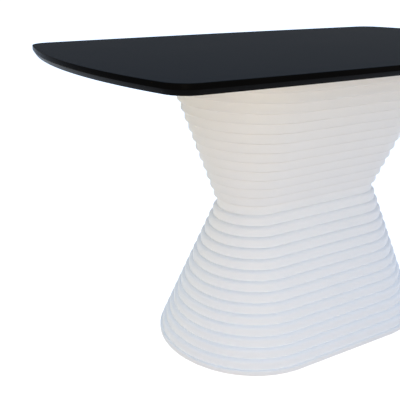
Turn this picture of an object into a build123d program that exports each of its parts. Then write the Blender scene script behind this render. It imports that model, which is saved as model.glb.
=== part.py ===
from build123d import *
import os
from math import cos, radians, sin

# Dining table: a black lacquered top on a white plinth of stacked slabs.
# Millimetres. Z is up, the origin is on the floor under the middle of the
# table, and X runs along its length.

# The whole table, from the floor to the face of its top
table_height = 760.0

# Table top: a board with bowed sides, bowed ends and a bevelled underside
top_length = 1295.0
top_width = 766.0
top_thickness = 22.0
side_bow = 12.5
end_bow = 56.5
top_corner_radius = 58.0
under_bevel_height = 11.0
under_bevel_inset = 7.0

# Plinth: a thin base slab, then slabs with fully round ends that step in to
# the narrowest one, the waist, and out again
slab_count_below_waist = 14
slab_count_above_waist = 14
end_centre_spacing = 310.0
base_thickness = 13.0
base_radius = 236.0
foot_radius = 229.0
waist_radius = 87.0
head_radius = 222.0
slab_nose_chamfer = 6.0
base_nose_chamfer = 3.0

# Steel core: two square posts between a top plate and two clamp plates
post_size = 60.0
post_wall = 3.0
post_clearance = 0.5
top_plate_length = 420.0
top_plate_width = 130.0
top_plate_thickness = 10.0
top_plate_corner_radius = 12.0
post_middle_to_plate_end = 85.0
clamp_plate_size = 110.0
clamp_plate_thickness = 8.0
clamp_plate_clearance = 1.0

# Tie rods, threaded into the top plate, with a nut under each clamp plate
rod_diameter = 16.0
rod_clearance = 0.5
rod_thread_clearance = 0.05
rod_projection = 2.0
nut_across_flats = 24.0
nut_height = 10.0

# Bolts of the top plate, and the hexagonal inserts that they screw into
plate_bolt_diameter = 8.0
plate_bolt_clearance = 0.25
plate_bolt_thread_clearance = 0.05
plate_bolt_length = 20.0
plate_bolt_head_across_flats = 13.0
plate_bolt_head_height = 5.0
plate_bolt_to_plate_end = 30.0
plate_bolt_to_plate_side = 23.0
bolt_head_well_size = 24.0
insert_across_flats = 13.0
insert_length = 14.0

# Beech tongues that join the three lowest slabs
tongue_length = 90.0
tongue_thickness = 12.0
tongue_depth_in_base = 8.0
tongue_depth_in_third = 12.0
tongue_inset = 110.0

# Nylon glides under the lowest slab
glide_diameter = 40.0
glide_height = 2.0
glide_inset = 42.0
glide_angle = 45.0

# How far a cutting tool runs past the face that it opens
overrun = 5.0

# Levels and places worked out from the sizes above
waist_number = slab_count_below_waist + 2
slab_count = waist_number + slab_count_above_waist
plinth_bottom = glide_height
plinth_top = table_height - top_thickness
base_top = plinth_bottom + base_thickness
slab_thickness = (plinth_top - base_top) / (slab_count - 1)
clamp_plate_top = base_top + slab_thickness
tongue_bottom = base_top - tongue_depth_in_base
tongue_height = tongue_depth_in_base + slab_thickness + tongue_depth_in_third
clamp_plate_bottom = clamp_plate_top - clamp_plate_thickness
nut_bottom = clamp_plate_bottom - nut_height
rod_bottom = nut_bottom - rod_projection
top_plate_bottom = plinth_top - top_plate_thickness
bolt_head_bottom = top_plate_bottom - plate_bolt_head_height
half_post_spacing = top_plate_length / 2 - post_middle_to_plate_end
plate_bolt_x = top_plate_length / 2 - plate_bolt_to_plate_end
plate_bolt_y = top_plate_width / 2 - plate_bolt_to_plate_side
half_centre_spacing = end_centre_spacing / 2


def save(shape, node):
    """Write one node of the table as a STEP file."""
    shape.label = node
    export_step(shape, os.path.join("parts", node + ".step"))


def group(solids):
    """Several like pieces that share one node."""
    return Compound(children=solids)


def cylinder(x, y, bottom, height, diameter):
    """An upright round bar standing on a level."""
    return Pos(x, y, bottom) * extrude(Circle(diameter / 2), height)


def hexagon_bar(x, y, bottom, height, across_flats):
    """An upright six-sided bar standing on a level."""
    outline = RegularPolygon(across_flats / 2, 6, major_radius=False)
    return Pos(x, y, bottom) * extrude(outline, height)


def box(x, y, bottom, size_x, size_y, height):
    """An upright block standing on a level."""
    return Pos(x, y, bottom) * extrude(Rectangle(size_x, size_y), height)


# Places of the repeated pieces

def post_places():
    """Middle of the left post and of the right post."""
    return [-half_post_spacing, half_post_spacing]


def plate_bolt_places():
    """A bolt near each corner of the top plate."""
    places = []
    for end in (-1, 1):
        for side in (-1, 1):
            places.append((end * plate_bolt_x, side * plate_bolt_y))
    return places


def glide_places():
    """Four glides, two under each round end of the base slab."""
    reach = base_radius - glide_inset
    x = half_centre_spacing + reach * cos(radians(glide_angle))
    y = reach * sin(radians(glide_angle))
    return [(end * x, side * y) for end in (-1, 1) for side in (-1, 1)]


def tongue_places():
    """A tongue behind each long side of the base slab."""
    return [side * (base_radius - tongue_inset) for side in (-1, 1)]


# Pieces of the table top

def top_outline():
    """Four shallow arcs that meet at rounded corners."""
    half_length = top_length / 2
    half_width = top_width / 2
    corner_x = half_length - end_bow
    corner_y = half_width - side_bow
    front = ThreePointArc((-corner_x, -corner_y), (0, -half_width), (corner_x, -corner_y))
    right = ThreePointArc((corner_x, -corner_y), (half_length, 0), (corner_x, corner_y))
    back = ThreePointArc((corner_x, corner_y), (0, half_width), (-corner_x, corner_y))
    left = ThreePointArc((-corner_x, corner_y), (-half_length, 0), (-corner_x, -corner_y))
    face = make_face(front + right + back + left)
    return fillet(face.vertices(), top_corner_radius)


def make_table_top():
    """The board, bevelled below, with blind holes for its threaded inserts."""
    board = Pos(0, 0, plinth_top) * extrude(top_outline(), top_thickness)
    lower_edges = board.faces().sort_by(Axis.Z)[0].outer_wire().edges()
    board = chamfer(lower_edges, under_bevel_height, under_bevel_inset)
    for x, y in plate_bolt_places():
        hole_bottom = plinth_top - overrun
        board -= hexagon_bar(x, y, hole_bottom, insert_length + overrun, insert_across_flats)
    return board


def make_top_inserts():
    """Brass inserts, six-sided so that they can't turn in the board."""
    bore = plate_bolt_diameter + 2 * plate_bolt_thread_clearance
    inserts = []
    for x, y in plate_bolt_places():
        insert = hexagon_bar(x, y, plinth_top, insert_length, insert_across_flats)
        insert -= cylinder(x, y, plinth_top - overrun, insert_length + 2 * overrun, bore)
        inserts.append(insert)
    return group(inserts)


# Pieces of the steel core

def make_top_plate():
    """A flat plate let into the highest slab, drilled for bolts and tie rods."""
    outline = RectangleRounded(top_plate_length, top_plate_width, top_plate_corner_radius)
    plate = Pos(0, 0, top_plate_bottom) * extrude(outline, top_plate_thickness)
    hole_bottom = top_plate_bottom - overrun
    hole_depth = top_plate_thickness + 2 * overrun
    bolt_hole = plate_bolt_diameter + 2 * plate_bolt_clearance
    rod_hole = rod_diameter + 2 * rod_thread_clearance
    for x, y in plate_bolt_places():
        plate -= cylinder(x, y, hole_bottom, hole_depth, bolt_hole)
    for x in post_places():
        plate -= cylinder(x, 0, hole_bottom, hole_depth, rod_hole)
    return plate


def make_top_plate_bolts():
    """Hexagon bolts from below through the top plate into the inserts."""
    bolts = []
    for x, y in plate_bolt_places():
        head = hexagon_bar(
            x, y, bolt_head_bottom, plate_bolt_head_height, plate_bolt_head_across_flats,
        )
        shank = cylinder(x, y, top_plate_bottom, plate_bolt_length, plate_bolt_diameter)
        bolts.append(head + shank)
    return group(bolts)


def make_post(x):
    """A square steel tube from the clamp plate up to the top plate."""
    height = top_plate_bottom - clamp_plate_top
    inner_size = post_size - 2 * post_wall
    tube = box(x, 0, clamp_plate_top, post_size, post_size, height)
    tube -= box(x, 0, clamp_plate_top - overrun, inner_size, inner_size, height + 2 * overrun)
    return tube


def make_tie_rod(x):
    """A threaded rod that pulls the top plate down on the stack of slabs."""
    return cylinder(x, 0, rod_bottom, plinth_top - rod_bottom, rod_diameter)


def make_clamp_plate(x):
    """A square plate that bears up on the third slab and carries the post."""
    bore = rod_diameter + 2 * rod_clearance
    plate = box(x, 0, clamp_plate_bottom, clamp_plate_size, clamp_plate_size, clamp_plate_thickness)
    plate -= cylinder(x, 0, clamp_plate_bottom - overrun, clamp_plate_thickness + 2 * overrun, bore)
    return plate


def make_rod_nuts():
    """One hexagon nut on the lower end of each tie rod."""
    bore = rod_diameter + 2 * rod_thread_clearance
    nuts = []
    for x in post_places():
        nut = hexagon_bar(x, 0, nut_bottom, nut_height, nut_across_flats)
        nut -= cylinder(x, 0, nut_bottom - overrun, nut_height + 2 * overrun, bore)
        nuts.append(nut)
    return group(nuts)


# Pieces of the plinth

def slab_radius(number):
    """Round-end radius of a slab, counted from 1, the base slab."""
    if number == 1:
        return base_radius
    if number < waist_number:
        step = (foot_radius - waist_radius) / slab_count_below_waist
        return waist_radius + (waist_number - number) * step
    step = (head_radius - waist_radius) / slab_count_above_waist
    return waist_radius + (number - waist_number) * step


def slab_levels(number):
    """Lower and upper level of a slab."""
    if number == 1:
        return plinth_bottom, base_top
    bottom = base_top + (number - 2) * slab_thickness
    return bottom, bottom + slab_thickness


def slab_blank(number):
    """A slab with round ends, its edge towards the waist bevelled."""
    bottom, top = slab_levels(number)
    outline = SlotCenterToCenter(end_centre_spacing, 2 * slab_radius(number))
    blank = Pos(0, 0, bottom) * extrude(outline, top - bottom)
    if number == waist_number:
        return blank
    flat_faces = blank.faces().filter_by(Axis.Z).sort_by(Axis.Z)
    nose_face = flat_faces[-1] if number < waist_number else flat_faces[0]
    size = base_nose_chamfer if number == 1 else slab_nose_chamfer
    return chamfer(nose_face.edges(), size)


def top_plate_recess():
    """Room in the highest slab for the top plate and its bolt heads."""
    outline = RectangleRounded(
        top_plate_length + 2 * post_clearance,
        top_plate_width + 2 * post_clearance,
        top_plate_corner_radius + post_clearance,
    )
    recess = Pos(0, 0, top_plate_bottom) * extrude(outline, top_plate_thickness + overrun)
    well_bottom = bolt_head_bottom - post_clearance
    well_height = plinth_top - well_bottom
    for x, y in plate_bolt_places():
        recess += box(x, y, well_bottom, bolt_head_well_size, bolt_head_well_size, well_height)
    return recess


def make_slab(number):
    """One slab of the stack with its cut-outs for the steel core."""
    bottom, top = slab_levels(number)
    slab = slab_blank(number)
    hole_size = post_size + 2 * post_clearance
    if number <= 2:
        hole_size = clamp_plate_size + 2 * clamp_plate_clearance
    for x in post_places():
        slab -= box(x, 0, bottom - overrun, hole_size, hole_size, top - bottom + 2 * overrun)
    if number <= 3:
        for y in tongue_places():
            slab -= foot_tongue(y)
    if number == slab_count:
        slab -= top_plate_recess()
    return slab


def foot_tongue(y):
    """One loose tongue, from the base slab through the second into the third."""
    return box(0, y, tongue_bottom, tongue_length, tongue_thickness, tongue_height)


def make_foot_tongues():
    """Glued tongues that hold the two lowest slabs to the third."""
    return group([foot_tongue(y) for y in tongue_places()])


# Pieces under the plinth

def make_glides():
    """Flat nylon discs stuck to the base slab."""
    discs = [cylinder(x, y, 0, glide_height, glide_diameter) for x, y in glide_places()]
    return group(discs)


# Write every node

os.makedirs("parts", exist_ok=True)
save(make_table_top(), "table_top")
save(make_top_inserts(), "top_inserts")
save(make_top_plate(), "top_plate")
save(make_top_plate_bolts(), "top_plate_bolts")
for side_name, post_x in zip(("left", "right"), post_places()):
    save(make_post(post_x), side_name + "_post")
    save(make_tie_rod(post_x), side_name + "_tie_rod")
    save(make_clamp_plate(post_x), side_name + "_clamp_plate")
save(make_rod_nuts(), "rod_nuts")
for slab_number in range(1, slab_count + 1):
    save(make_slab(slab_number), "plinth_slab_%02d" % slab_number)
save(make_foot_tongues(), "foot_tongues")
save(make_glides(), "glides")
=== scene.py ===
import bpy
import bmesh
from math import atan2, cos, radians, sin, sqrt
from mathutils import Matrix, Vector


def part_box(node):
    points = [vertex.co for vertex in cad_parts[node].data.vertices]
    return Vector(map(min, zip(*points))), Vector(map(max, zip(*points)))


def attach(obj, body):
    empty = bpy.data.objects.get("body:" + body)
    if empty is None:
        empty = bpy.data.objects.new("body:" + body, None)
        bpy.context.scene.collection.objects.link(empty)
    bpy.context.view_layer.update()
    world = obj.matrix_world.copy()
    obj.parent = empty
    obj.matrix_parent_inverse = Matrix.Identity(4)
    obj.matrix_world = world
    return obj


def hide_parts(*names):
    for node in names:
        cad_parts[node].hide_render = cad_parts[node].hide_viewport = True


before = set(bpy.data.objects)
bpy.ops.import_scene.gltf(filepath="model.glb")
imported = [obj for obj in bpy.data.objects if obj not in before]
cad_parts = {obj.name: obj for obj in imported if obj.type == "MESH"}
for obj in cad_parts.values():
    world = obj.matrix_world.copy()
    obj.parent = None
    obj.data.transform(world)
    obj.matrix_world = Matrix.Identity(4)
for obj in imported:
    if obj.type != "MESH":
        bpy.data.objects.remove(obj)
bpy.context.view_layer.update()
mm = 0.001
near = 1e-5  # heights and corners closer than this, in metres, count as one


# Shared helpers for meshes

def newObject(name, bm, body="root"):
    bmesh.ops.recalc_face_normals(bm, faces=bm.faces)
    mesh = bpy.data.meshes.new(name)
    bm.to_mesh(mesh)
    bm.free()
    obj = bpy.data.objects.new(name, mesh)
    bpy.context.scene.collection.objects.link(obj)
    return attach(obj, body)


def shadeByAngle(obj, degrees):
    obj.data.shade_smooth()
    obj.data.set_sharp_from_angle(angle=radians(degrees))


def faceAtHeight(bm, z):
    return [f for f in bm.faces if all(abs(v.co.z - z) < near for v in f.verts)]


def rimEdges(bm, z):
    found = set()
    for face in faceAtHeight(bm, z):
        found.update(face.edges)
    return list(found)


def rectangle(x, y, sizeX, sizeY):
    return [(x + i * sizeX / 2, y + j * sizeY / 2) for i, j in ((1, 1), (-1, 1), (-1, -1), (1, -1))]


def hexagon(x, y, acrossFlats):
    reach = acrossFlats / sqrt(3)
    return [(x + reach * cos(radians(60 * k)), y + reach * sin(radians(60 * k))) for k in range(6)]


def roundedRectangle(sizeX, sizeY, radius, steps):
    points = []
    for k, (i, j) in enumerate(((1, 1), (-1, 1), (-1, -1), (1, -1))):
        for n in range(steps + 1):
            angle = radians(90 * k + 90 * n / steps)
            points.append((i * (sizeX / 2 - radius) + radius * cos(angle),
                           j * (sizeY / 2 - radius) + radius * sin(angle)))
    return points


def addLoop(bm, points, z):
    corners = [bm.verts.new((x * mm, y * mm, z)) for x, y in points]
    return [bm.edges.new((a, b)) for a, b in zip(corners, corners[1:] + corners[:1])]


def addWall(bm, points, low, high):
    lower, upper = addLoop(bm, points, low), addLoop(bm, points, high)
    bmesh.ops.bridge_loops(bm, edges=lower + upper)
    return lower, upper


def openCap(bm, z):
    # the flat face at this height goes, its outline stays
    cap = max(faceAtHeight(bm, z), key=lambda f: f.calc_area())
    rim = list(cap.edges)
    bmesh.ops.delete(bm, geom=[cap], context="FACES_ONLY")
    return rim


def fillFlat(bm, loops):
    # a flat face between an outline and the openings inside it
    edges = [edge for loop in loops for edge in loop]
    bmesh.ops.triangle_fill(bm, use_beauty=True, use_dissolve=False, edges=edges, normal=(0, 0, 1))


# Shared helpers for materials

def linear(hexColour):
    # a hex colour as scene-linear red, green and blue, with full alpha
    channels = [int(hexColour[i:i + 2], 16) / 255 for i in (1, 3, 5)]
    values = [c / 12.92 if c <= 0.04045 else ((c + 0.055) / 1.055) ** 2.4 for c in channels]
    return (*values, 1.0)


def newMaterial(name):
    material = bpy.data.materials.new(name)
    material.use_nodes = True
    return material, material.node_tree.nodes["Principled BSDF"]


def addNode(material, kind, settings=None, inputs=None, links=None):
    tree = material.node_tree
    node = tree.nodes.new(kind)
    for key, value in (settings or {}).items():
        setattr(node, key, value)
    for key, value in (inputs or {}).items():
        node.inputs[key].default_value = value
    for key, source in (links or {}).items():
        tree.links.new(source, node.inputs[key])
    return node


def setRamp(node, stops):
    for element, (place, colour) in zip(node.color_ramp.elements, stops):
        element.position = place
        element.color = colour
    return node


# Finishes, each named for the real material and how its surface was made. The
# slabs' coat starts to scatter light between the two heights of waistZ, in metres

reliefMm = 0.2  # depth of the fine relief on lacquer and metal
topFinish = {
    "face": {"base": "#2a2c2e", "cloud": "#2b2d2f", "roughness": (0.53, 0.55), "specular": 0.003},
    # the band's and the under-bevel's base colours are kept far darker than the face's: painted
    # shade on the same black lacquer
    "band": {"base": "#080808", "cloud": "#0b0a09", "roughness": (0.24, 0.3), "specular": 0.004},
    "bevel": {"base": "#070708", "cloud": "#0a0a0b", "roughness": (0.3, 0.36), "specular": 0.02},
    "cloudMm": 160.0, "peelMm": 2.2, "bump": 0.02,
}
slabFinish = {
    "coat": {"base": "#fbfaf9", "cloud": "#faf9f8", "roughness": (0.42, 0.5), "specular": 0.3},
    "scatter": 0.8, "scatterMm": 10.0, "waistZ": (0.36, 0.39),
    "cloudMm": 90.0, "peelMm": 3.0, "bump": 0.03,
}


def sprayedLacquer(name, coat, finish):
    # Sprayed lacquer on fibreboard: a satin film with faint cloudy patches
    # and a fine orange peel that only breaks up the highlights.
    material, shader = newMaterial(name)
    place = addNode(material, "ShaderNodeTexCoord")
    clouds = addNode(material, "ShaderNodeTexNoise", inputs={
        "Scale": 1 / (finish["cloudMm"] * mm), "Detail": 3.0, "Roughness": 0.55},
        links={"Vector": place.outputs["Object"]})
    tint = setRamp(addNode(material, "ShaderNodeValToRGB", links={"Fac": clouds.outputs["Fac"]}),
                   [(0.35, linear(coat["base"])), (0.7, linear(coat["cloud"]))])
    sheen = addNode(material, "ShaderNodeMapRange", inputs={
        "From Min": 0.3, "From Max": 0.7,
        "To Min": coat["roughness"][0], "To Max": coat["roughness"][1]},
        links={"Value": clouds.outputs["Fac"]})
    peel = addNode(material, "ShaderNodeTexNoise", inputs={
        "Scale": 1 / (finish["peelMm"] * mm), "Detail": 2.0},
        links={"Vector": place.outputs["Object"]})
    relief = addNode(material, "ShaderNodeBump", inputs={
        "Strength": finish["bump"], "Distance": reliefMm * mm},
        links={"Height": peel.outputs["Fac"]})
    tree = material.node_tree
    tree.links.new(tint.outputs["Color"], shader.inputs["Base Color"])
    tree.links.new(sheen.outputs["Result"], shader.inputs["Roughness"])
    tree.links.new(relief.outputs["Normal"], shader.inputs["Normal"])
    shader.inputs["IOR"].default_value = 1.45
    shader.inputs["Specular IOR Level"].default_value = coat["specular"]
    return material


def makeTopMaterials():
    # the band and under-bevel materials are darker copies of the top's lacquer, carrying painted
    # shade
    return [sprayedLacquer(name, topFinish[coat], topFinish) for name, coat in (
        ("satinBlackLacquer", "face"), ("blackEdgeBandPaintedShade", "band"), ("blackUnderBevelPaintedShade", "bevel"))]


def makeSlabMaterial():
    # The white coat is built up thick and lets a little light through, which
    # softens the shade under the overhangs of the upper half.
    s = slabFinish
    material = sprayedLacquer("satinWhiteLacquer", s["coat"], s)
    shader = material.node_tree.nodes["Principled BSDF"]
    place = addNode(material, "ShaderNodeTexCoord")
    height = addNode(material, "ShaderNodeSeparateXYZ", links={0: place.outputs["Object"]})
    depth = addNode(material, "ShaderNodeMapRange", inputs={
        "From Min": s["waistZ"][0], "From Max": s["waistZ"][1],
        "To Min": 0.0, "To Max": s["scatter"]},
        links={"Value": height.outputs["Z"]})
    material.node_tree.links.new(depth.outputs["Result"], shader.inputs["Subsurface Weight"])
    shader.inputs["Subsurface Radius"].default_value = (1.0, 1.0, 1.0)
    shader.inputs["Subsurface Scale"].default_value = s["scatterMm"] * mm
    return material


# Table top: an outline of four shallow arcs with rounded corners, made as one
# quarter by spins and then mirrored

topShape = {
    "endBow": 56.5, "sideBow": 12.5, "cornerRadius": 58.0, "bevelHeight": 11.0, "bevelInset": 7.0,
    "rimRound": 1.6, "ridgeRound": 1.2, "footRound": 1.2, "roundSteps": 4,
    "endSteps": 20, "cornerSteps": 14, "sideSteps": 24,
    "capMargin": 4.0, "faceDepth": 0.3, "smoothBelow": 30,
    "socketX": 180.0, "socketY": 42.0, "socketFlats": 13.0, "socketDepth": 14.0,
}


def topQuarter(bm, halfLength, halfWidth, z):
    s = topShape
    endBow, sideBow, radius = s["endBow"] * mm, s["sideBow"] * mm, s["cornerRadius"] * mm
    cornerX, cornerY = halfLength - endBow, halfWidth - sideBow
    endRadius = (cornerY ** 2 + endBow ** 2) / (2 * endBow)
    sideRadius = (cornerX ** 2 + sideBow ** 2) / (2 * sideBow)
    endCentre = Vector((halfLength - endRadius, 0, z))
    sideCentre = Vector((0, halfWidth - sideRadius, z))
    # the corner's centre lies at the two reduced radii from the two centres
    reachEnd, reachSide = endRadius - radius, sideRadius - radius
    across = sideCentre - endCentre
    distance = across.length
    along = (reachEnd ** 2 - reachSide ** 2 + distance ** 2) / (2 * distance)
    off = sqrt(reachEnd ** 2 - along ** 2)
    unit = across / distance
    side = Vector((-unit.y, unit.x, 0))
    corner = max((endCentre + unit * along + side * off, endCentre + unit * along - side * off),
                 key=lambda p: p.x + p.y)
    endAngle = atan2(corner.y - endCentre.y, corner.x - endCentre.x)
    sideAngle = atan2(corner.x - sideCentre.x, corner.y - sideCentre.y)
    cornerAngle = radians(90) - endAngle - sideAngle
    start = bm.verts.new((halfLength, 0, z))
    made = {"geom_last": [start]}
    for centre, angle, steps in ((endCentre, endAngle, s["endSteps"]),
                                 (corner, cornerAngle, s["cornerSteps"]),
                                 (sideCentre, sideAngle, s["sideSteps"])):
        last = [v for v in made["geom_last"] if isinstance(v, bmesh.types.BMVert)]
        made = bmesh.ops.spin(bm, geom=last, cent=centre, axis=(0, 0, 1), angle=angle,
                              steps=steps, use_duplicate=False)


def makeTableTop(materials):
    s = topShape
    low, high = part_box("table_top")
    bm = bmesh.new()
    ridge = low.z + s["bevelHeight"] * mm
    topQuarter(bm, high.x, high.y, ridge)
    for axis in ("X", "Y"):
        bmesh.ops.mirror(bm, geom=bm.verts[:] + bm.edges[:], axis=axis, merge_dist=near)
    bmesh.ops.remove_doubles(bm, verts=bm.verts, dist=near)
    bmesh.ops.contextual_create(bm, geom=bm.edges[:])
    bmesh.ops.recalc_face_normals(bm, faces=bm.faces)
    lower = bm.faces[:][0]
    if lower.normal.z > 0:
        lower.normal_flip()
    raised = bmesh.ops.extrude_face_region(bm, geom=[lower], use_keep_orig=True)
    risen = [v for v in raised["geom"] if isinstance(v, bmesh.types.BMVert)]
    bmesh.ops.translate(bm, verts=risen, vec=(0, 0, high.z - ridge))
    bmesh.ops.recalc_face_normals(bm, faces=bm.faces)
    under = faceAtHeight(bm, ridge)
    bmesh.ops.inset_region(bm, faces=under, thickness=s["bevelInset"] * mm,
                           depth=s["bevelHeight"] * mm, use_even_offset=True)
    for z, size in ((high.z, s["rimRound"]), (ridge, s["ridgeRound"]), (low.z, s["footRound"])):
        if z == ridge:
            edges = [e for e in bm.edges if all(abs(v.co.z - ridge) < near for v in e.verts)]
        else:
            edges = rimEdges(bm, z)
        bmesh.ops.bevel(bm, geom=edges, offset=size * mm, offset_type="OFFSET", affect="EDGES",
                        segments=s["roundSteps"], profile=0.5, material=-1)
    for z in (high.z, low.z):
        bmesh.ops.inset_region(bm, faces=faceAtHeight(bm, z),
                               thickness=s["capMargin"] * mm, depth=0, use_even_offset=True)
    loops = [openCap(bm, low.z)]
    for x in (-s["socketX"], s["socketX"]):
        for y in (-s["socketY"], s["socketY"]):
            mouth, end = addWall(bm, hexagon(x, y, s["socketFlats"]), low.z,
                                 low.z + s["socketDepth"] * mm)
            loops.append(mouth)
            fillFlat(bm, [end])
    fillFlat(bm, loops)
    # faces on the band and below the ridge get the darker lacquer copies, which carry painted shade
    for face in bm.faces:
        middle = face.calc_center_median().z
        onFace = middle > high.z - s["faceDepth"] * mm
        face.material_index = 0 if onFace else (1 if middle > ridge else 2)
    top = newObject("tableTop", bm)
    for material in materials:
        top.data.materials.append(material)
    shadeByAngle(top, s["smoothBelow"])
    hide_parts("table_top")


# Plinth slabs: a circle drawn apart into a round-ended outline and raised to
# the board's thickness; the rim towards the waist is rounded over, the other
# only eased, and the cut-outs for the steel core and the tongues are open

slabShape = {
    "count": 30, "waist": 16, "roundBelow": 9.5, "roundAbove": 3.0, "eased": 0.3, "baseEased": 2.0,
    "roundSteps": 5, "endSteps": 96, "capMargin": 2.0, "smoothBelow": 40,
    "postX": 125.0, "postHole": 61.0, "clampWell": 112.0, "clampSlabs": 2,
    "tongueY": 126.0, "tongue": (90.0, 12.0), "tongueSlabs": 3,
    "tongueInLowest": 8.0, "tongueInHighest": 12.0,
    "recess": (421.0, 131.0), "recessRadius": 12.5, "recessSteps": 6, "recessDepth": 10.0,
    "headWell": 24.0, "headX": 180.0, "headY": 42.0, "headDepth": 15.5,
}


def edgeSizes(number):
    # how far the lower and the upper rim of a slab are rounded
    s = slabShape
    if number == 1:
        return s["baseEased"], s["baseEased"]
    return (s["roundAbove"] if number > s["waist"] else s["eased"],
            s["roundBelow"] if number < s["waist"] else s["eased"])


def slabBody(low, high, sizes):
    s = slabShape
    radius = high.y
    shift = high.x - radius
    bm = bmesh.new()
    turn = Matrix.Rotation(radians(180 / s["endSteps"]), 4, "Z")
    bmesh.ops.create_circle(bm, cap_ends=True, segments=s["endSteps"], radius=radius, matrix=turn)
    for v in bm.verts:
        v.co.x += shift if v.co.x > 0 else -shift
        v.co.z = low.z
    raised = bmesh.ops.extrude_face_region(bm, geom=bm.faces[:], use_keep_orig=True)
    risen = [v for v in raised["geom"] if isinstance(v, bmesh.types.BMVert)]
    bmesh.ops.translate(bm, verts=risen, vec=(0, 0, high.z - low.z))
    for z, size in zip((low.z, high.z), sizes):
        bmesh.ops.bevel(bm, geom=rimEdges(bm, z), offset=size * mm, offset_type="OFFSET",
                        affect="EDGES", segments=s["roundSteps"], profile=0.5, material=-1)
    caps = faceAtHeight(bm, low.z) + faceAtHeight(bm, high.z)
    bmesh.ops.inset_region(bm, faces=caps, thickness=s["capMargin"] * mm, depth=0,
                           use_even_offset=True)
    return bm


def cutSlab(bm, number, low, high):
    s = slabShape
    below, above = [openCap(bm, low.z)], [openCap(bm, high.z)]
    hole = s["clampWell"] if number <= s["clampSlabs"] else s["postHole"]
    isHighest = number == s["count"]
    floorZ = high.z - s["recessDepth"] * mm
    wellZ = high.z - s["headDepth"] * mm
    inRecess = []
    for x in (-s["postX"], s["postX"]):
        mouth, end = addWall(bm, rectangle(x, 0, hole, hole), low.z,
                             floorZ if isHighest else high.z)
        below.append(mouth)
        (inRecess if isHighest else above).append(end)
    if number <= s["tongueSlabs"]:
        isFirst, isLast = number == 1, number == s["tongueSlabs"]
        fromZ = high.z - s["tongueInLowest"] * mm if isFirst else low.z
        toZ = low.z + s["tongueInHighest"] * mm if isLast else high.z
        for y in (-s["tongueY"], s["tongueY"]):
            lower, upper = addWall(bm, rectangle(0, y, *s["tongue"]), fromZ, toZ)
            for rim, side, isOpen in ((lower, below, not isFirst), (upper, above, not isLast)):
                if isOpen:
                    side.append(rim)
                else:
                    fillFlat(bm, [rim])
    if isHighest:
        edge, mouth = addWall(bm, roundedRectangle(*s["recess"], s["recessRadius"],
                                                   s["recessSteps"]), floorZ, high.z)
        above.append(mouth)
        inRecess.append(edge)
        for x in (-s["headX"], s["headX"]):
            for y in (-s["headY"], s["headY"]):
                end, mouth = addWall(bm, rectangle(x, y, s["headWell"], s["headWell"]),
                                     wellZ, floorZ)
                inRecess.append(mouth)
                fillFlat(bm, [end])
        fillFlat(bm, inRecess)
    fillFlat(bm, below)
    fillFlat(bm, above)


def makeSlab(number, material):
    node = "plinth_slab_%02d" % number
    low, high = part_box(node)
    bm = slabBody(low, high, edgeSizes(number))
    cutSlab(bm, number, low, high)
    slab = newObject("plinthSlab%02d" % number, bm)
    slab.data.materials.append(material)
    shadeByAngle(slab, slabShape["smoothBelow"])
    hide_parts(node)


# Steel core, tongues and glides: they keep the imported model's shape and get
# the materials below

metalFinish = {
    "zinc": {"name": "zincPlatedSteel", "dark": "#8e9398", "light": "#b9bec2", "metallic": 1.0,
             "roughness": (0.28, 0.45), "grainMm": 6.0, "bump": 0.04},
    "powder": {"name": "blackPowderCoat", "dark": "#161617", "light": "#1e1e20", "metallic": 0.0,
               "roughness": (0.55, 0.7), "grainMm": 0.8, "bump": 0.25},
    "brass": {"name": "turnedBrass", "dark": "#a9823f", "light": "#c9a45c", "metallic": 1.0,
              "roughness": (0.25, 0.35), "grainMm": 3.0, "bump": 0.03},
    "nylon": {"name": "mouldedNylon", "dark": "#cfcbc0", "light": "#d8d5cb", "metallic": 0.0,
              "roughness": (0.5, 0.6), "grainMm": 1.5, "bump": 0.06},
}
beechFinish = {"dark": "#b98a5c", "light": "#d6ae80", "fleck": "#8f6238", "roughness": 0.6,
               "ringMm": 4.0, "fleckMm": 1.2, "stretch": (0.12, 1.0, 1.0)}


def speckled(s):
    # Zinc spangle, powder grain, turned brass or moulded nylon: two close
    # tones and an uneven sheen at the size of the real grain.
    material, shader = newMaterial(s["name"])
    place = addNode(material, "ShaderNodeTexCoord")
    grain = addNode(material, "ShaderNodeTexNoise", inputs={
        "Scale": 1 / (s["grainMm"] * mm), "Detail": 4.0, "Roughness": 0.6},
        links={"Vector": place.outputs["Object"]})
    tint = setRamp(addNode(material, "ShaderNodeValToRGB", links={"Fac": grain.outputs["Fac"]}),
                   [(0.35, linear(s["dark"])), (0.65, linear(s["light"]))])
    sheen = addNode(material, "ShaderNodeMapRange", inputs={
        "From Min": 0.3, "From Max": 0.7, "To Min": s["roughness"][0], "To Max": s["roughness"][1]},
        links={"Value": grain.outputs["Fac"]})
    relief = addNode(material, "ShaderNodeBump", inputs={
        "Strength": s["bump"], "Distance": reliefMm * mm}, links={"Height": grain.outputs["Fac"]})
    tree = material.node_tree
    tree.links.new(tint.outputs["Color"], shader.inputs["Base Color"])
    tree.links.new(sheen.outputs["Result"], shader.inputs["Roughness"])
    tree.links.new(relief.outputs["Normal"], shader.inputs["Normal"])
    shader.inputs["Metallic"].default_value = s["metallic"]
    return material


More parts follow.
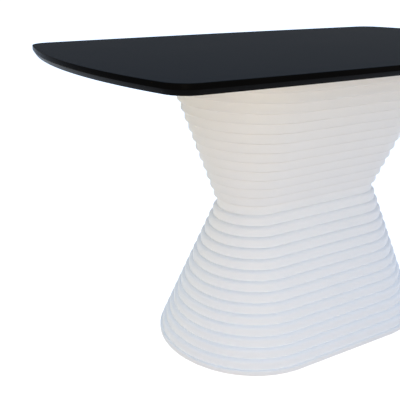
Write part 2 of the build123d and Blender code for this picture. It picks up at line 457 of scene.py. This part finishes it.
def planedBeech(s):
    # Planed beech: pale rings along the piece with the short dark flecks
    # that tell it from other pale woods.
    material, shader = newMaterial("planedBeech")
    place = addNode(material, "ShaderNodeTexCoord")
    along = addNode(material, "ShaderNodeMapping", inputs={"Scale": s["stretch"]},
                    links={"Vector": place.outputs["Object"]})
    rings = addNode(material, "ShaderNodeTexNoise", inputs={
        "Scale": 1 / (s["ringMm"] * mm), "Detail": 3.0, "Distortion": 0.6},
        links={"Vector": along.outputs["Vector"]})
    wood = setRamp(addNode(material, "ShaderNodeValToRGB", links={"Fac": rings.outputs["Fac"]}),
                   [(0.35, linear(s["dark"])), (0.62, linear(s["light"]))])
    flecks = addNode(material, "ShaderNodeTexVoronoi", inputs={"Scale": 1 / (s["fleckMm"] * mm)},
                     links={"Vector": along.outputs["Vector"]})
    where = addNode(material, "ShaderNodeMapRange", inputs={
        "From Min": 0.12, "From Max": 0.22, "To Min": 0.6, "To Max": 0.0},
        links={"Value": flecks.outputs["Distance"]})
    mixed = addNode(material, "ShaderNodeMix", {"data_type": "RGBA"}, links={
        "Factor": where.outputs["Result"]})
    tree = material.node_tree
    tree.links.new(wood.outputs["Color"], mixed.inputs[6])
    mixed.inputs[7].default_value = linear(s["fleck"])
    tree.links.new(mixed.outputs[2], shader.inputs["Base Color"])
    shader.inputs["Roughness"].default_value = s["roughness"]
    return material


def dress(material, *names):
    for name in names:
        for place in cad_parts[name].material_slots:
            place.material = material


# Glides: thin moulded discs with a rounded rim

glideShape = {"radius": 20.0, "rimRound": 0.8, "steps": 64, "roundSteps": 3, "smoothBelow": 30}


def makeGlides(material):
    s = glideShape
    low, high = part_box("glides")
    bm = bmesh.new()
    radius = s["radius"] * mm
    centreX, centreY = high.x - radius, high.y - radius
    for x in (-centreX, centreX):
        for y in (-centreY, centreY):
            bmesh.ops.create_circle(bm, cap_ends=True, segments=s["steps"], radius=radius,
                                    matrix=Matrix.Translation((x, y, low.z)))
    raised = bmesh.ops.extrude_face_region(bm, geom=bm.faces[:], use_keep_orig=True)
    risen = [v for v in raised["geom"] if isinstance(v, bmesh.types.BMVert)]
    bmesh.ops.translate(bm, verts=risen, vec=(0, 0, high.z - low.z))
    bmesh.ops.bevel(bm, geom=rimEdges(bm, low.z), offset=s["rimRound"] * mm, offset_type="OFFSET",
                    affect="EDGES", segments=s["roundSteps"], profile=0.5, material=-1)
    glides = newObject("glidesMoulded", bm)
    glides.data.materials.append(material)
    shadeByAngle(glides, s["smoothBelow"])
    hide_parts("glides")


# Floor, lamps, world and camera. The camera was fitted to the photograph and
# keeps the fit's own unit, pixels. A mirrored backLeft lamp would tint the
# dark band on the left end brown.

floorLook = {"bounce": "#dac4b3", "shown": "#ffffff", "glow": 0.75, "roughness": 0.9,
             "radius": 30.0, "steps": 64}
worldLook = {"colour": "#a8cfff", "strength": 0.77, "shown": "#ffffff", "shownStrength": 1.0}
lamps = {
    "cameraSide": {"place": (-1.3, -1.6, 0.75), "aim": (0, 0, 0.4), "size": 0.6,
                   "power": 12.4, "colour": "#ffefcb", "mirrored": True},
    "rightFill": {"place": (2.6, -2.0, 0.9), "aim": (0, 0, 0.4), "size": 2.0,
                  "power": 27.0, "colour": "#ffecca", "mirrored": True},
    "leftFill": {"place": (-3.0, -0.6, 0.8), "aim": (0, 0, 0.4), "size": 2.0,
                 "power": 9.7, "colour": "#ffdb9b", "mirrored": True},
    "backLeft": {"place": (-2.2, 3.2, 0.6), "aim": (-0.3, 0, 0.5), "size": 1.5,
                 "power": 36.5, "colour": "#ffe895", "mirrored": False},
}
photoCamera = {
    "place": (-1.0895, -1.21193, 0.92026), "yaw": 29.599, "pitch": 19.217, "roll": -0.012,
    "focalPixels": 620.88, "centreX": 168.16, "centreY": 193.09, "frame": 400.0,
    "sensorWidth": 36.0,
}


def seenOrReflected(holder):
    # 1 where the camera, a reflection or a view through glass meets the surface
    path = addNode(holder, "ShaderNodeLightPath")
    direct = addNode(holder, "ShaderNodeMath", {"operation": "MAXIMUM"}, links={
        0: path.outputs["Is Camera Ray"], 1: path.outputs["Is Glossy Ray"]})
    return addNode(holder, "ShaderNodeMath", {"operation": "MAXIMUM"}, links={
        0: direct.outputs[0], 1: path.outputs["Is Transmission Ray"]}).outputs[0]


def makeFloor():
    # A warm studio floor in the light that it throws back, white where the
    # camera or a reflection sees it, still darker where the table shades it.
    material, shader = newMaterial("paleFloor")
    shader.inputs["Roughness"].default_value = floorLook["roughness"]
    shader.inputs["Specular IOR Level"].default_value = 0.0
    shown = seenOrReflected(material)
    tint = addNode(material, "ShaderNodeMix", {"data_type": "RGBA"}, links={"Factor": shown})
    tint.inputs[6].default_value = linear(floorLook["bounce"])
    tint.inputs[7].default_value = linear(floorLook["shown"])
    glow = addNode(material, "ShaderNodeMath", {"operation": "MULTIPLY"}, {1: floorLook["glow"]},
                   {0: shown})
    tree = material.node_tree
    tree.links.new(tint.outputs[2], shader.inputs["Base Color"])
    shader.inputs["Emission Color"].default_value = linear(floorLook["shown"])
    tree.links.new(glow.outputs[0], shader.inputs["Emission Strength"])
    bm = bmesh.new()
    bmesh.ops.create_circle(bm, cap_ends=True, segments=floorLook["steps"],
                            radius=floorLook["radius"])
    floor = newObject("paleFloor", bm)
    floor.data.materials.append(material)


def makeLamps():
    for name, s in lamps.items():
        lamp = bpy.data.lights.new(name, "AREA")
        lamp.shape = "SQUARE"
        lamp.size = s["size"]
        lamp.energy = s["power"]
        lamp.color = linear(s["colour"])[:3]
        holder = bpy.data.objects.new(name, lamp)
        holder.location = s["place"]
        holder.visible_glossy = s["mirrored"]
        aim = Vector(s["aim"]) - Vector(s["place"])
        holder.rotation_euler = aim.to_track_quat("-Z", "Y").to_euler()
        bpy.context.scene.collection.objects.link(holder)


def makeWorld():
    # Cool soft light from all round, white where it is seen or reflected.
    world = bpy.data.worlds.new("studio")
    world.use_nodes = True
    bpy.context.scene.world = world
    sky = world.node_tree.nodes["Background"]
    sky.inputs["Color"].default_value = linear(worldLook["colour"])
    sky.inputs["Strength"].default_value = worldLook["strength"]
    backdrop = addNode(world, "ShaderNodeBackground", inputs={
        "Color": linear(worldLook["shown"]), "Strength": worldLook["shownStrength"]})
    mixed = addNode(world, "ShaderNodeMixShader", links={
        0: seenOrReflected(world), 1: sky.outputs[0], 2: backdrop.outputs[0]})
    tree = world.node_tree
    tree.links.new(mixed.outputs[0], tree.nodes["World Output"].inputs["Surface"])


def makeCamera():
    s = photoCamera
    data = bpy.data.cameras.new("photoCamera")
    data.sensor_width = s["sensorWidth"]
    data.lens = s["focalPixels"] / s["frame"] * data.sensor_width
    data.shift_x = (s["frame"] / 2 - s["centreX"]) / s["frame"]
    data.shift_y = (s["centreY"] - s["frame"] / 2) / s["frame"]
    camera = bpy.data.objects.new("photoCamera", data)
    turn = Matrix.Rotation(-radians(s["yaw"]), 4, "Z")
    tilt = Matrix.Rotation(radians(90 - s["pitch"]), 4, "X")
    roll = Matrix.Rotation(radians(s["roll"]), 4, "Z")
    camera.matrix_world = Matrix.Translation(s["place"]) @ turn @ tilt @ roll
    bpy.context.scene.collection.objects.link(camera)
    bpy.context.scene.camera = camera


bpy.context.scene.view_settings.view_transform = "Standard"
makeCamera()
makeWorld()
makeLamps()
makeFloor()
print("stage ready")
makeTableTop(makeTopMaterials())
print("table top ready")
slabWhite = makeSlabMaterial()
for slabNumber in range(1, slabShape["count"] + 1):
    makeSlab(slabNumber, slabWhite)
print("plinth ready")
dress(speckled(metalFinish["zinc"]), "top_plate", "top_plate_bolts", "left_tie_rod",
      "right_tie_rod", "rod_nuts")
dress(speckled(metalFinish["powder"]), "left_post", "right_post", "left_clamp_plate",
      "right_clamp_plate")
dress(speckled(metalFinish["brass"]), "top_inserts")
dress(planedBeech(beechFinish), "foot_tongues")
makeGlides(speckled(metalFinish["nylon"]))
print("steel core and glides ready")
